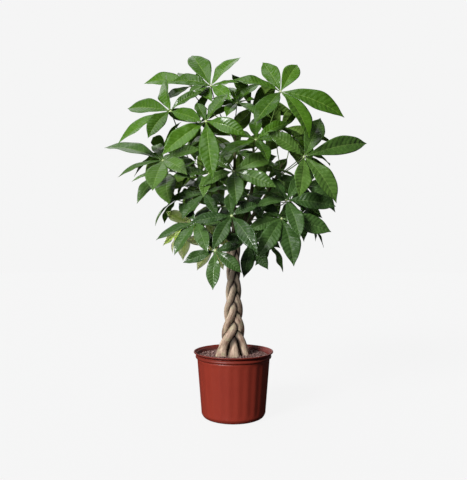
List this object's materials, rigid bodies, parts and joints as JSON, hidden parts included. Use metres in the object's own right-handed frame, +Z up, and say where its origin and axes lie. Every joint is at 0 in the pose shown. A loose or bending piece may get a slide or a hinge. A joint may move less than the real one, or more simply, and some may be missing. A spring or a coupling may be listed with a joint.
{
  "type": "potted money tree",
  "caption": "Indoor tree with a braided trunk and a round crown of palmate glossy leaves, growing in the soil of a round fluted nursery pot.",
  "frame": {"origin": "centre of the pot's underside, on the surface that the pot stands on", "axes": "+Z up along the trunk, -Y towards the viewer of the picture, +X to that viewer's right"},
  "size_m": [0.8256, 0.6697, 1.1738],
  "materials": {
    "pot": "satin red-brown moulded plastic",
    "soil": "rough dark potting mix with bark",
    "bark": "smooth grey-beige bark",
    "leaf": "glossy green leaf"
  },
  "bodies": {
    "root": {"pot": "pot", "soil": "soil", "stem_1": "bark", "stem_2": "bark", "stem_3": "bark", "stem_4": "bark", "stem_5": "bark", "leaf_01": "leaf", "leaf_02": "leaf", "leaf_03": "leaf", "leaf_04": "leaf", "leaf_05": "leaf", "leaf_06": "leaf", "leaf_07": "leaf", "leaf_08": "leaf", "leaf_09": "leaf", "leaf_10": "leaf", "leaf_11": "leaf", "leaf_12": "leaf", "leaf_13": "leaf", "leaf_14": "leaf", "leaf_15": "leaf", "leaf_16": "leaf", "leaf_17": "leaf", "leaf_18": "leaf", "leaf_19": "leaf", "leaf_20": "leaf", "leaf_21": "leaf", "leaf_22": "leaf", "leaf_23": "leaf", "leaf_24": "leaf", "leaf_25": "leaf", "leaf_26": "leaf", "leaf_27": "leaf", "leaf_28": "leaf", "leaf_29": "leaf", "leaf_30": "leaf", "leaf_31": "leaf", "leaf_32": "leaf", "leaf_33": "leaf", "leaf_34": "leaf", "leaf_35": "leaf", "leaf_36": "leaf", "leaf_37": "leaf", "leaf_38": "leaf", "leaf_39": "leaf", "leaf_40": "leaf", "leaf_41": "leaf", "leaf_42": "leaf", "leaf_43": "leaf", "leaf_44": "leaf", "leaf_45": "leaf"}
  },
  "joints": []
}
